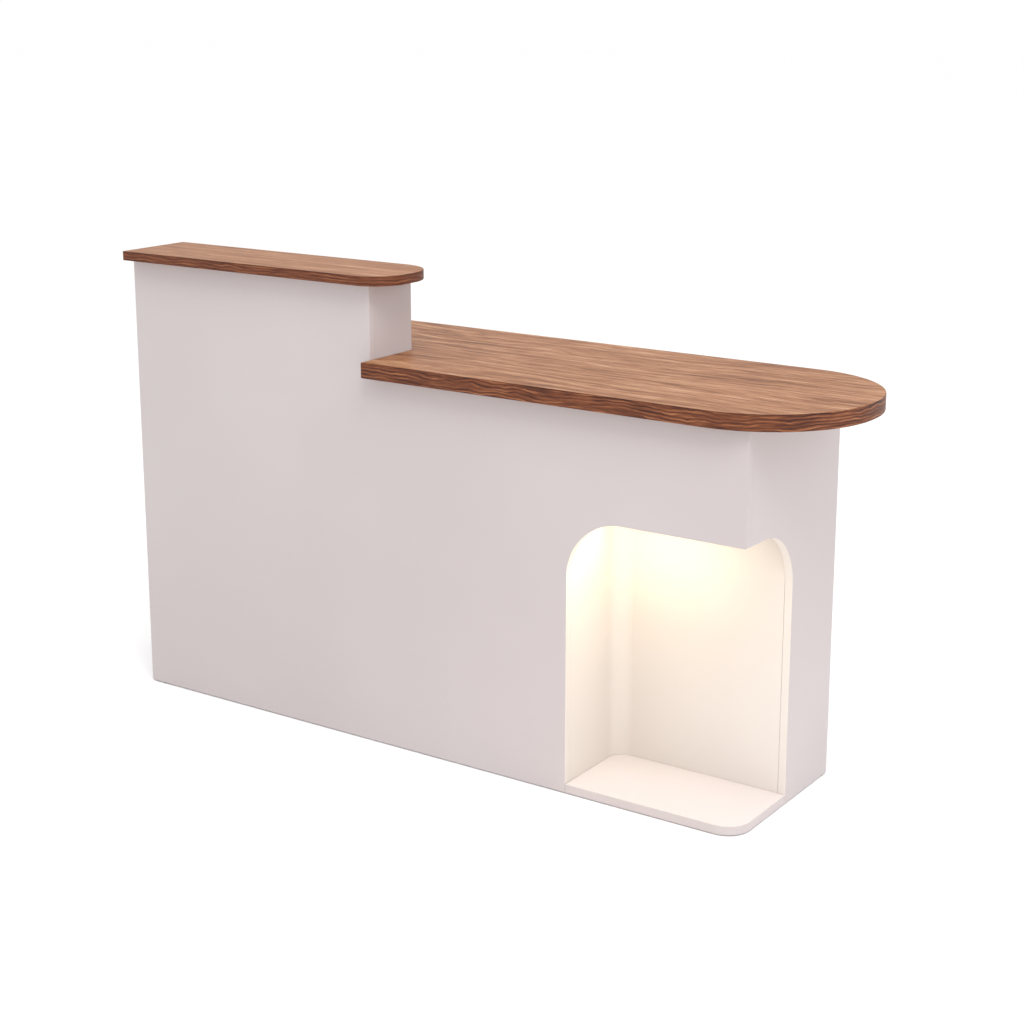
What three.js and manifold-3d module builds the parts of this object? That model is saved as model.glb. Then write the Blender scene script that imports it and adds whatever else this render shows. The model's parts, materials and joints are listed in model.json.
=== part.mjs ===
import * as THREE from 'three';
import { mergeVertices } from 'three/addons/utils/BufferGeometryUtils.js';
import Module from 'manifold-3d';

const wasm = await Module();
wasm.setup();

// A two-tier checkout counter, in millimetres. Inside the counter group X runs along the customer's
// face from the tall end, Y runs from that face back to the operator, and Z is up from the floor.

// Whole counter
const OVERALL_LENGTH = 1800;
const BODY_LENGTH = 1639;
const BODY_DEPTH = 418;
const BOARD = 18;
const GAP = 0.3;
const REVEAL = 3;
const GLIDE_HEIGHT = 2;
const GLIDE_RADIUS = 8;

// Low worktop
const WORKTOP_TOP = 892;
const WORKTOP_THICKNESS = 35;
const WORKTOP_FRONT_OVERHANG = 34;
const WORKTOP_BACK_OVERHANG = 43;
const WORKTOP_FRONT_RADIUS = 247;
const WORKTOP_BACK_RADIUS = 236;

// Tall riser and its ledge
const RISER_LENGTH = 710;
const RISER_DEPTH = 151;
const LEDGE_TOP = 1081;
const LEDGE_THICKNESS = 22;
const LEDGE_LENGTH = 777;
const LEDGE_DEPTH = 203;
const LEDGE_FRONT_OVERHANG = 34;
const LEDGE_FRONT_RADIUS = 81;
const LEDGE_BACK_RADIUS = 89;

// Lit corner niche
const NICHE_LEFT = 1223;
const NICHE_DEPTH = 215;
const NICHE_FLOOR = 22;
const NICHE_TOP = 616;
const NICHE_ARCH_RADIUS = 130;
const NICHE_FLOOR_RADIUS = 55;
const NICHE_COVE_RADIUS = 40;
const COVE_THICKNESS = 3;
const LED_Y = 69;
const LED_WIDTH = 17;
const LED_DEPTH = 8;
const LED_LENGTH = 380;
const LED_MARGIN = (BODY_LENGTH - BOARD - NICHE_LEFT - LED_LENGTH) / 2;
const CHANNEL_WALL = 1.2;

// Drawer pedestal at the tall end
const PEDESTAL_INNER = 442;
const PLINTH_HEIGHT = 62;
const PLINTH_SETBACK = 40;
const SHELF_BOTTOM = 590;
const DRAWER_SPLIT = 428.5;
const SLIDE_LENGTH = 350;
const SLIDE_SPACE = 13;
const DRAWER_WALL = 12;
const DRAWER_FLOOR = 5;
const CASH_BOX_BOTTOM = 445;
const CASH_BOX_HEIGHT = 100;
const STORAGE_BOX_BOTTOM = 100;
const STORAGE_BOX_HEIGHT = 240;

// Lock in the cash drawer
const LOCK_DROP = 16;
const LOCK_RADIUS = 8;
const PLUG_RADIUS = 5;
const CAM_REACH = 26;
const CAM_WIDTH = 11;
const CAM_THICKNESS = 2;
const POCKET_WIDTH = 60;
const POCKET_DEPTH = 12;
const POCKET_LIP = 20;
const POCKET_RUN = 12;

// Pulls
const PULL_SPAN = 128;
const PULL_REACH = 30;
const PULL_RADIUS = 4.5;
const PULL_BEND = 12;

// Keyboard tray
const TRAY_CENTRE = 841;
const TRAY_WIDTH = 600;
const TRAY_DEPTH = 255;
const TRAY_THICKNESS = 15;
const TRAY_DROP = 100;
const RUNNER_STEEL = 1.5;
const RUNNER_CLEARANCE = 0.4;
const RUNNER_GRIP = 12;
const RUNNER_REBATE = 2.5;

// Cupboard behind the niche
const DOOR_GAP = 2;
const HINGE_AXIS_OUT = 3.6;
const HINGE_RADIUS = 3;
const HINGE_KNUCKLES = 8;
const HINGE_LEAF = 1.2;
const HINGE_WIDTH = 16;
const SHELF_HEIGHT = 330;

// Power inlet, driver and leads
const INLET_Y = 330;
const INLET_Z = 735;
const LEAD_RADIUS = 1.5;
const SUPPLY_RADIUS = 2.5;

// Cable grommet
const GROMMET_X = 400;
const GROMMET_Y = 300;
const GROMMET_HOLE = 30;

const WORKTOP_UNDER = WORKTOP_TOP - WORKTOP_THICKNESS;
const LEDGE_UNDER = LEDGE_TOP - LEDGE_THICKNESS;
const BODY_BACK = BODY_DEPTH;
const INNER_FRONT = BOARD + GAP;
const PEDESTAL_RIGHT = BOARD + PEDESTAL_INNER;
const CUPBOARD_RIGHT = BODY_LENGTH - BOARD;
const PLAN_CENTRE_Y = (BODY_DEPTH + WORKTOP_BACK_OVERHANG - WORKTOP_FRONT_OVERHANG) / 2;

const PALETTE = {
  lacquer: { color: 0xdcd3d2, roughness: 0.45, metalness: 0 },
  walnut: { color: 0xb98560, roughness: 0.5, metalness: 0 },
  birch: { color: 0xd8bd94, roughness: 0.6, metalness: 0 },
  steel: { color: 0xb9bcc0, roughness: 0.35, metalness: 1 },
  aluminium: { color: 0xc8cacc, roughness: 0.4, metalness: 1 },
  nickel: { color: 0xc9c7c2, roughness: 0.25, metalness: 1 },
  black: { color: 0x1b1b1d, roughness: 0.5, metalness: 0 },
  diffuser: { color: 0xfff2dc, roughness: 0.6, metalness: 0 },
  flex: { color: 0xf4ead2, roughness: 0.6, metalness: 0 },
};

const counter = new THREE.Group();
counter.position.set(-OVERALL_LENGTH / 2, -PLAN_CENTRE_Y, 0);

function add(name, geometry, finish, place = [0, 0, 0]) {
  const mesh = new THREE.Mesh(geometry, new THREE.MeshStandardMaterial(PALETTE[finish]));
  mesh.name = name;
  mesh.position.set(...place);
  counter.add(mesh);
  return mesh;
}

// A block between two values on each axis.
function block([x0, x1], [y0, y1], [z0, z1]) {
  const box = new THREE.BoxGeometry(x1 - x0, y1 - y0, z1 - z0);
  return box.translate((x0 + x1) / 2, (y0 + y1) / 2, (z0 + z1) / 2);
}

// Outlines: drawn in X-Y and raised along Z, in X-Z and run along Y, or in Y-Z and run along X.
function raise(shape, [z0, z1], curveSegments = 16) {
  const settings = { depth: z1 - z0, bevelEnabled: false, curveSegments };
  return new THREE.ExtrudeGeometry(shape, settings).translate(0, 0, z0);
}

function runAlongY(shape, [y0, y1], curveSegments = 16) {
  return raise(shape, [-y1, -y0], curveSegments).rotateX(Math.PI / 2);
}

function runAlongX(shape, [x0, x1], curveSegments = 16) {
  return raise(shape, [x0, x1], curveSegments).rotateY(Math.PI / 2).rotateX(Math.PI / 2);
}

function outline(points) {
  return new THREE.Shape(points.map(([a, b]) => new THREE.Vector2(a, b)));
}

function solid(geometry) {
  const bare = geometry.index ? geometry.toNonIndexed() : geometry.clone();
  bare.deleteAttribute('normal');
  bare.deleteAttribute('uv');
  const merged = mergeVertices(bare, 1e-4);
  const vertProperties = new Float32Array(merged.attributes.position.array);
  const triVerts = new Uint32Array(merged.index.array);
  return new wasm.Manifold(new wasm.Mesh({ numProp: 3, vertProperties, triVerts }));
}

function surface(manifold) {
  const mesh = manifold.getMesh();
  const geometry = new THREE.BufferGeometry();
  geometry.setAttribute('position', new THREE.BufferAttribute(new Float32Array(mesh.vertProperties), 3));
  geometry.setIndex(new THREE.BufferAttribute(new Uint32Array(mesh.triVerts), 1));
  geometry.computeVertexNormals();
  return geometry;
}

function join(...geometries) {
  return surface(geometries.map(solid).reduce((whole, part) => whole.add(part)));
}

function cut(geometry, ...cutters) {
  return surface(cutters.map(solid).reduce((whole, part) => whole.subtract(part), solid(geometry)));
}

// A solid turned about Z, standing along Z.
function turned(profile, segments = 24) {
  const points = profile.map(([r, z]) => new THREE.Vector2(r, z));
  return new THREE.LatheGeometry(points, segments).rotateX(Math.PI / 2);
}

function rod(radius, length, segments = 16) {
  return turned([[0, 0], [radius, 0], [radius, length], [0, length]], segments);
}

// ---- Front panel: one L-shaped board, open at the niche corner under a quarter-round arch.

function frontPanel() {
  const archX = NICHE_LEFT + NICHE_ARCH_RADIUS;
  const archZ = NICHE_TOP - NICHE_ARCH_RADIUS;
  const shape = new THREE.Shape();
  shape.moveTo(0, GLIDE_HEIGHT);
  shape.lineTo(NICHE_LEFT, GLIDE_HEIGHT);
  shape.lineTo(NICHE_LEFT, archZ);
  shape.absarc(archX, archZ, NICHE_ARCH_RADIUS, Math.PI, Math.PI / 2, true);
  shape.lineTo(BODY_LENGTH, NICHE_TOP);
  shape.lineTo(BODY_LENGTH, WORKTOP_UNDER - GAP);
  shape.lineTo(RISER_LENGTH, WORKTOP_UNDER - GAP);
  shape.lineTo(RISER_LENGTH, LEDGE_UNDER - GAP);
  shape.lineTo(0, LEDGE_UNDER - GAP);
  add('front_panel', runAlongY(shape, [0, BOARD], 20), 'lacquer');
}

// ---- End panels: the left one steps up into the riser, the right one opens into the niche.

function leftEndPanel() {
  const shape = outline([
    [INNER_FRONT, GLIDE_HEIGHT], [BODY_BACK, GLIDE_HEIGHT], [BODY_BACK, WORKTOP_UNDER - GAP],
    [RISER_DEPTH, WORKTOP_UNDER - GAP], [RISER_DEPTH, LEDGE_UNDER - GAP], [INNER_FRONT, LEDGE_UNDER - GAP],
  ]);
  add('left_end_panel', runAlongX(shape, [0, BOARD]), 'lacquer');
}

function rightEndPanel() {
  const archY = NICHE_DEPTH - NICHE_ARCH_RADIUS;
  const archZ = NICHE_TOP - NICHE_ARCH_RADIUS;
  const shape = new THREE.Shape();
  shape.moveTo(NICHE_DEPTH, GLIDE_HEIGHT);
  shape.lineTo(BODY_BACK, GLIDE_HEIGHT);
  shape.lineTo(BODY_BACK, WORKTOP_UNDER - GAP);
  shape.lineTo(INNER_FRONT, WORKTOP_UNDER - GAP);
  shape.lineTo(INNER_FRONT, NICHE_TOP);
  shape.lineTo(archY, NICHE_TOP);
  shape.absarc(archY, archZ, NICHE_ARCH_RADIUS, Math.PI / 2, 0, true);
  add('right_end_panel', runAlongX(shape, [CUPBOARD_RIGHT, BODY_LENGTH], 20), 'lacquer');
}

// ---- Riser: two boards close the tall box behind the front panel.

function riser() {
  const height = [WORKTOP_UNDER, LEDGE_UNDER - GAP];
  const endLeft = RISER_LENGTH - BOARD;
  add('riser_end_panel', block([endLeft, RISER_LENGTH], [INNER_FRONT, RISER_DEPTH], height), 'lacquer');
  const back = [RISER_DEPTH - BOARD, RISER_DEPTH];
  add('riser_back_panel', block([BOARD + GAP, endLeft - GAP], back, height), 'lacquer');
}

// ---- Wooden tops: both have square left ends and rounded right ends.

function roundedTop(shape, right, front, back, frontRadius, backRadius) {
  shape.lineTo(right - frontRadius, front);
  shape.absarc(right - frontRadius, front + frontRadius, frontRadius, -Math.PI / 2, 0, false);
  shape.lineTo(right, back - backRadius);
  shape.absarc(right - backRadius, back - backRadius, backRadius, 0, Math.PI / 2, false);
}

function worktop() {
  const front = -WORKTOP_FRONT_OVERHANG;
  const back = BODY_DEPTH + WORKTOP_BACK_OVERHANG;
  const shape = new THREE.Shape();
  shape.moveTo(RISER_LENGTH + GAP, front);
  roundedTop(shape, OVERALL_LENGTH, front, back, WORKTOP_FRONT_RADIUS, WORKTOP_BACK_RADIUS);
  shape.lineTo(0, back);
  shape.lineTo(0, RISER_DEPTH + GAP);
  shape.lineTo(RISER_LENGTH + GAP, RISER_DEPTH + GAP);
  const hole = new THREE.Path();
  hole.absarc(GROMMET_X, GROMMET_Y, GROMMET_HOLE, 0, Math.PI * 2, true);
  shape.holes.push(hole);
  add('worktop', raise(shape, [WORKTOP_UNDER, WORKTOP_TOP], 24), 'walnut');
}

function ledge() {
  const front = -LEDGE_FRONT_OVERHANG;
  const shape = new THREE.Shape();
  shape.moveTo(0, front);
  roundedTop(shape, LEDGE_LENGTH, front, front + LEDGE_DEPTH, LEDGE_FRONT_RADIUS, LEDGE_BACK_RADIUS);
  shape.lineTo(0, front + LEDGE_DEPTH);
  add('ledge_top', raise(shape, [LEDGE_UNDER, LEDGE_TOP], 16), 'walnut');
}

// ---- Inner boards of the pedestal and the rail that ties the knee space together at the front.

const LOCK_X = (BOARD + PEDESTAL_RIGHT) / 2;

function pedestal() {
  const inside = [BOARD + GAP, PEDESTAL_RIGHT - GAP];
  const full = [GLIDE_HEIGHT, WORKTOP_UNDER - GAP];
  const partition = block([PEDESTAL_RIGHT, PEDESTAL_RIGHT + BOARD], [INNER_FRONT, BODY_BACK], full);
  add('pedestal_partition', partition, 'lacquer');
  const bottom = [PLINTH_HEIGHT, PLINTH_HEIGHT + BOARD];
  add('pedestal_bottom', block(inside, [INNER_FRONT, BODY_BACK], bottom), 'lacquer');
  const plinthBack = BODY_BACK - PLINTH_SETBACK;
  const plinth = block(inside, [plinthBack - BOARD, plinthBack], [GLIDE_HEIGHT, PLINTH_HEIGHT - GAP]);
  add('pedestal_plinth', plinth, 'lacquer');
  const pocketBack = BODY_BACK - POCKET_LIP;
  const pocket = block(
    [LOCK_X - POCKET_WIDTH / 2, LOCK_X + POCKET_WIDTH / 2], [pocketBack - POCKET_RUN, pocketBack],
    [SHELF_BOTTOM - 1, SHELF_BOTTOM + POCKET_DEPTH]);
  const shelf = block(inside, [INNER_FRONT, BODY_BACK], [SHELF_BOTTOM, SHELF_BOTTOM + BOARD]);
  add('pedestal_shelf', cut(shelf, pocket), 'lacquer');
}

function frontRail() {
  const x = [PEDESTAL_RIGHT + BOARD + GAP, NICHE_LEFT - BOARD - GAP];
  const z = [WORKTOP_UNDER - GAP - BOARD, WORKTOP_UNDER - GAP];
  add('front_rail', block(x, [INNER_FRONT, RISER_DEPTH], z), 'lacquer');
}

// ---- Niche: a partition, a base board that is also the cupboard floor, a back wall with a coved
// corner, and a ceiling grooved for the light.

const INLET_BODY = { depth: 40, width: 27, height: 47 };

function nichePartition() {
  const shape = outline([
    [INNER_FRONT, GLIDE_HEIGHT], [BODY_BACK, GLIDE_HEIGHT],
    [BODY_BACK, WORKTOP_UNDER - GAP], [INNER_FRONT, WORKTOP_UNDER - GAP],
  ]);
  const halfWidth = INLET_BODY.width / 2 + GAP;
  const halfHeight = INLET_BODY.height / 2 + GAP;
  const hole = new THREE.Path([
    new THREE.Vector2(INLET_Y - halfWidth, INLET_Z - halfHeight),
    new THREE.Vector2(INLET_Y - halfWidth, INLET_Z + halfHeight),
    new THREE.Vector2(INLET_Y + halfWidth, INLET_Z + halfHeight),
    new THREE.Vector2(INLET_Y + halfWidth, INLET_Z - halfHeight),
  ]);
  shape.holes.push(hole);
  add('niche_partition', runAlongX(shape, [NICHE_LEFT - BOARD, NICHE_LEFT]), 'lacquer');
}

function baseBoard() {
  const r = NICHE_FLOOR_RADIUS;
  const shape = new THREE.Shape();
  shape.moveTo(NICHE_LEFT + GAP, 0);
  shape.lineTo(BODY_LENGTH - r, 0);
  shape.absarc(BODY_LENGTH - r, r, r, -Math.PI / 2, 0, false);
  shape.lineTo(BODY_LENGTH, NICHE_DEPTH - GAP);
  shape.lineTo(CUPBOARD_RIGHT - GAP, NICHE_DEPTH - GAP);
  shape.lineTo(CUPBOARD_RIGHT - GAP, BODY_BACK);
  shape.lineTo(NICHE_LEFT + GAP, BODY_BACK);
  add('base_board', raise(shape, [GLIDE_HEIGHT, NICHE_FLOOR], 14), 'lacquer');
}

function nicheWalls() {
  const x = [NICHE_LEFT + GAP, CUPBOARD_RIGHT - GAP];
  const back = [NICHE_DEPTH, NICHE_DEPTH + BOARD];
  add('niche_back_wall', block(x, back, [NICHE_FLOOR + GAP, NICHE_TOP + BOARD]), 'lacquer');

  const centreX = NICHE_LEFT + GAP + NICHE_COVE_RADIUS;
  const centreY = NICHE_DEPTH - GAP - NICHE_COVE_RADIUS;
  const cove = new THREE.Shape();
  cove.absarc(centreX, centreY, NICHE_COVE_RADIUS, Math.PI / 2, Math.PI, false);
  cove.absarc(centreX, centreY, NICHE_COVE_RADIUS - COVE_THICKNESS, Math.PI, Math.PI / 2, true);
  add('niche_corner_cove', raise(cove, [NICHE_FLOOR + GAP, NICHE_TOP - GAP], 10), 'lacquer');

  const grooveHalf = LED_WIDTH / 2 + GAP;
  const grooveTop = NICHE_TOP + LED_DEPTH + GAP;
  const ceiling = outline([
    [INNER_FRONT, NICHE_TOP], [LED_Y - grooveHalf, NICHE_TOP], [LED_Y - grooveHalf, grooveTop],
    [LED_Y + grooveHalf, grooveTop], [LED_Y + grooveHalf, NICHE_TOP], [NICHE_DEPTH - GAP, NICHE_TOP],
    [NICHE_DEPTH - GAP, NICHE_TOP + BOARD], [INNER_FRONT, NICHE_TOP + BOARD],
  ]);
  const leadHole = rod(LEAD_RADIUS + 4.5, BOARD + 2).translate(LEAD_HOLE_X, LED_Y, NICHE_TOP - 1);
  add('niche_ceiling', cut(runAlongX(ceiling, x), leadHole), 'lacquer');
}

// ---- Niche light: an extruded channel in the ceiling groove, the strip on its floor, and a snap-in
// diffuser that stands level with the ceiling.

const LED_START = NICHE_LEFT + LED_MARGIN;
const LED_END = LED_START + LED_LENGTH;
const LEAD_HOLE_X = LED_END - 12;

function nicheLight() {
  const half = LED_WIDTH / 2;
  const inside = half - CHANNEL_WALL;
  const low = NICHE_TOP;
  const high = NICHE_TOP + LED_DEPTH;
  const web = high - CHANNEL_WALL;
  const profile = outline([
    [LED_Y - half, low], [LED_Y - inside, low], [LED_Y - inside, web], [LED_Y + inside, web],
    [LED_Y + inside, low], [LED_Y + half, low], [LED_Y + half, high], [LED_Y - half, high],
  ]);
  const leadHole = rod(LEAD_RADIUS + 1, LED_DEPTH).translate(LEAD_HOLE_X, LED_Y, NICHE_TOP + 2);
  add('led_channel', cut(runAlongX(profile, [LED_START, LED_END]), leadHole), 'aluminium');

  const stripTop = web - GAP;
  const strip = block([LED_START + 4, LEAD_HOLE_X - 6], [LED_Y - 5, LED_Y + 5], [stripTop - 1.6, stripTop]);
  add('led_strip', strip, 'flex');

  const lens = inside - GAP;
  const diffuser = block([LED_START, LED_END], [LED_Y - lens, LED_Y + lens], [low, low + 1.6]);
  add('led_diffuser', diffuser, 'diffuser');
}

// ---- Light supply: a driver on the niche ceiling, a power inlet with a rocker switch in the
// partition, and the two leads between them.

const DRIVER = { x: [1330, 1460], y: [90, 130], height: 26 };
const DRIVER_BASE = NICHE_TOP + BOARD + GAP;

function ledDriver() {
  const [y0, y1] = DRIVER.y;
  const low = DRIVER_BASE;
  const high = low + DRIVER.height;
  const chamfer = 4;
  const profile = outline([
    [y0, low], [y1, low], [y1, high - chamfer],
    [y1 - chamfer, high], [y0 + chamfer, high], [y0, high - chamfer],
  ]);
  const ears = block([DRIVER.x[0] - 12, DRIVER.x[1] + 12], [y0 + 10, y1 - 10], [low, low + 3]);
  add('led_driver', join(runAlongX(profile, DRIVER.x), ears), 'black');
}

function tube(points, radius) {
  const knots = points.map((p) => new THREE.Vector3(...p));
  const route = new THREE.CatmullRomCurve3(knots, false, 'centripetal');
  const section = new THREE.Shape();
  section.absarc(0, 0, radius, 0, Math.PI * 2, false);
  const steps = Math.ceil(route.getLength() / (radius * 5));
  return new THREE.ExtrudeGeometry(section, { extrudePath: route, steps, curveSegments: 4 });
}

function leads() {
  const ceilingTop = NICHE_TOP + BOARD;
  const rest = ceilingTop + 1 + LEAD_RADIUS;
  const led = [
    [DRIVER.x[1] + 1, 110, DRIVER_BASE + 12], [1466, 110, DRIVER_BASE + 12], [1484, 109, rest + 4],
    [1510, 104, rest + 0.5], [1545, 88, rest + 1], [1568, 76, rest + 7], [1583, 71, rest + 12],
    [LEAD_HOLE_X - 1, LED_Y, rest + 8], [LEAD_HOLE_X, LED_Y, rest - 4], [LEAD_HOLE_X, LED_Y, rest - 10],
    [LEAD_HOLE_X, LED_Y, NICHE_TOP + LED_DEPTH - 2],
  ];
  add('led_lead', tube(led, LEAD_RADIUS), 'flex');

  const inletBack = NICHE_LEFT - BOARD + INLET_BODY.depth;
  const floor = ceilingTop + 2 + SUPPLY_RADIUS;
  const supply = [
    [inletBack + 1, INLET_Y, INLET_Z], [inletBack + 10, INLET_Y, INLET_Z],
    [inletBack + 18, INLET_Y - 10, INLET_Z - 8],
    [1258, 300, 708], [1248, 262, 676], [1243, 222, floor + 12], [1243, 190, floor + 1], [1250, 150, floor],
    [1276, 118, floor + 1], [1304, 110, floor + 7], [DRIVER.x[0] - 8, 110, DRIVER_BASE + 12],
    [DRIVER.x[0] - 1, 110, DRIVER_BASE + 12],
  ];
  add('supply_lead', tube(supply, SUPPLY_RADIUS), 'black');
}

function powerInlet() {
  const face = NICHE_LEFT - BOARD - GAP;
  const flange = block([face - 2, face], [INLET_Y - 16, INLET_Y + 16], [INLET_Z - 30, INLET_Z + 30]);
  const halfWidth = INLET_BODY.width / 2;
  const halfHeight = INLET_BODY.height / 2;
  const body = block(
    [face - 1, NICHE_LEFT - BOARD + INLET_BODY.depth],
    [INLET_Y - halfWidth, INLET_Y + halfWidth], [INLET_Z - halfHeight, INLET_Z + halfHeight]);
  const socket = block([face - 3, face + 14], [INLET_Y - 11, INLET_Y + 11], [INLET_Z - 20, INLET_Z - 3]);
  const window = block([face - 3, face + 9], [INLET_Y - 9, INLET_Y + 9], [INLET_Z + 4, INLET_Z + 20]);
  const pins = [-7, 0, 7].map((offset) =>
    block([face, face + 15], [INLET_Y + offset - 1, INLET_Y + offset + 1], [INLET_Z - 14, INLET_Z - 9]));
  add('power_inlet', join(cut(join(flange, body), socket, window), ...pins), 'black');
}

// The rocker rests pressed at its top. It turns on a pivot that runs along Y.
const ROCKER_X = NICHE_LEFT - BOARD - GAP + 2;
const ROCKER_Z = INLET_Z + 12;
const ROCKER_TILT = THREE.MathUtils.degToRad(8);

function switchRocker() {
  const profile = outline([[-5, -7], [-3, 0], [-5, 7], [2, 7], [2, -7]]);
  const rocker = runAlongY(profile, [-8.4, 8.4]).rotateY(ROCKER_TILT);
  add('switch_rocker', rocker, 'black', [ROCKER_X, INLET_Y, ROCKER_Z]);
}

// ---- Cable grommet behind the riser: a flanged liner and a cap that turns in it.

function grommet() {
  const tube = GROMMET_HOLE - GAP;
  const seat = WORKTOP_TOP + GAP;
  const ring = turned([
    [tube - 2, -22], [tube, -22], [tube, 0], [tube + 5, 0], [tube + 5, 1.4], [tube + 4.4, 2], [tube - 2, 2],
    [tube - 2, -22],
  ], 40);
  add('grommet_ring', ring, 'black', [GROMMET_X, GROMMET_Y, seat]);

  const capRadius = tube - 2 - GAP;
  const slotHalf = 9;
  const slotEdge = Math.sqrt(capRadius ** 2 - slotHalf ** 2);
  const slotCentre = capRadius - 14;
  const edgeAngle = Math.atan2(slotEdge, slotHalf);
  const shape = new THREE.Shape();
  shape.moveTo(-slotHalf, slotEdge);
  shape.absarc(0, 0, capRadius, Math.PI - edgeAngle, 2 * Math.PI + edgeAngle, false);
  shape.lineTo(slotHalf, slotCentre);
  shape.absarc(0, slotCentre, slotHalf, 0, Math.PI, true);
  add('grommet_cap', raise(shape, [-1, 1.6], 20), 'black', [GROMMET_X, GROMMET_Y, seat]);
}

// ---- Floor glides under the four corners.

function floorGlides() {
  const spots = [[40, BOARD / 2], [BOARD / 2, 400], [1580, 45], [BODY_LENGTH - BOARD / 2, 400]];
  spots.forEach(([x, y], index) => {
    add(`floor_glide_${index + 1}`, rod(GLIDE_RADIUS, GLIDE_HEIGHT - GAP, 16), 'black', [x, y, 0]);
  });
}

// ---- Ball-bearing slides: three nested channels on each side of a drawer.

function channel(web, lip, halfHeight, steel) {
  const turn = Math.sign(lip - web) * steel;
  const inner = halfHeight - steel;
  return outline([
    [web, -halfHeight], [lip, -halfHeight], [lip, -inner], [web + turn, -inner],
    [web + turn, inner], [lip, inner], [lip, halfHeight], [web, halfHeight],
  ]);
}

function slides(prefix, centreZ) {
  const members = [
    { part: 'outer', web: 0, lip: 10.6, halfHeight: 22 },
    { part: 'middle', web: 2.2, lip: 10.2, halfHeight: 17.6 },
    { part: 'inner', web: SLIDE_SPACE - 2 * GAP, lip: 4.4, halfHeight: 13.4 },
  ];
  const run = [BODY_BACK - BOARD - 5 - SLIDE_LENGTH, BODY_BACK - BOARD - 5];
  for (const { part, web, lip, halfHeight } of members) {
    const left = BOARD + GAP;
    const right = PEDESTAL_RIGHT - GAP;
    const leftShape = channel(web, lip, halfHeight, 1.2);
    const rightShape = channel(-web, -lip, halfHeight, 1.2);
    add(`${prefix}_slide_${part}_left`, runAlongY(leftShape, run), 'steel', [left, 0, centreZ]);
    add(`${prefix}_slide_${part}_right`, runAlongY(rightShape, run), 'steel', [right, 0, centreZ]);
  }
}

// ---- Drawers: an inset front, a box hung between the slides, and a bent-bar pull.

function drawerBox(name, bottom, height) {
  const x0 = BOARD + SLIDE_SPACE + GAP;
  const x1 = PEDESTAL_RIGHT - SLIDE_SPACE - GAP;
  const y0 = BODY_BACK - BOARD - 5 - SLIDE_LENGTH;
  const y1 = BODY_BACK - BOARD - GAP;
  const body = block([x0, x1], [y0, y1], [bottom, bottom + height]);
  const hollow = block(
    [x0 + DRAWER_WALL, x1 - DRAWER_WALL], [y0 + DRAWER_WALL, y1 - DRAWER_WALL],
    [bottom + DRAWER_FLOOR, bottom + height + 1]);
  add(name, cut(body, hollow), 'birch');
}

// A bar pull that lies along X with both feet on the plane y = 0.
function pullAlongX() {
  const half = PULL_SPAN / 2;
  const path = new THREE.CurvePath();
  const reach = PULL_REACH - PULL_RADIUS;
  const at = (x, y) => new THREE.Vector3(x, y, 0);
  path.add(new THREE.LineCurve3(at(-half, 0), at(-half, reach - PULL_BEND)));
  path.add(new THREE.QuadraticBezierCurve3(
    at(-half, reach - PULL_BEND), at(-half, reach), at(-half + PULL_BEND, reach)));
  path.add(new THREE.LineCurve3(at(-half + PULL_BEND, reach), at(half - PULL_BEND, reach)));
  path.add(new THREE.QuadraticBezierCurve3(
    at(half - PULL_BEND, reach), at(half, reach), at(half, reach - PULL_BEND)));
  path.add(new THREE.LineCurve3(at(half, reach - PULL_BEND), at(half, 0)));
  const section = new THREE.Shape();
  section.absarc(0, 0, PULL_RADIUS, 0, Math.PI * 2, false);
  return new THREE.ExtrudeGeometry(section, { extrudePath: path, steps: 48, curveSegments: 5 });
}

function drawerFront(name, bottom, top, cutter) {
  const x = [BOARD + REVEAL, PEDESTAL_RIGHT - REVEAL];
  const front = block(x, [BODY_BACK - BOARD, BODY_BACK], [bottom, top]);
  add(name, cutter ? cut(front, cutter) : front, 'lacquer');
}

const LOCK_Z = SHELF_BOTTOM - REVEAL - LOCK_DROP;

function cashDrawer() {
  const bottom = DRAWER_SPLIT + REVEAL / 2;
  const top = SHELF_BOTTOM - REVEAL;
  const lockHole = rod(LOCK_RADIUS + GAP, BOARD + 2, 24).rotateX(-Math.PI / 2)
    .translate(LOCK_X, BODY_BACK - BOARD - 1, LOCK_Z);
  drawerFront('cash_drawer_front', bottom, top, lockHole);
  drawerBox('cash_drawer_box', CASH_BOX_BOTTOM, CASH_BOX_HEIGHT);
  add('cash_drawer_pull', pullAlongX(), 'steel', [LOCK_X, BODY_BACK + GAP, (bottom + top) / 2 - 12]);
  slides('cash', CASH_BOX_BOTTOM + CASH_BOX_HEIGHT / 2);
}

function storageDrawer() {
  const bottom = PLINTH_HEIGHT + BOARD + REVEAL;
  const top = DRAWER_SPLIT - REVEAL / 2;
  drawerFront('storage_drawer_front', bottom, top);
  drawerBox('storage_drawer_box', STORAGE_BOX_BOTTOM, STORAGE_BOX_HEIGHT);
  add('storage_drawer_pull', pullAlongX(), 'steel', [LOCK_X, BODY_BACK + GAP, top - 60]);
  slides('storage', STORAGE_BOX_BOTTOM + STORAGE_BOX_HEIGHT / 2);
}

// ---- Cam lock: a barrel through the cash drawer's front, and a plug with a cam that swings up into
// the pocket in the shelf. It rests unlocked, with the cam lying sideways.

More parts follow.
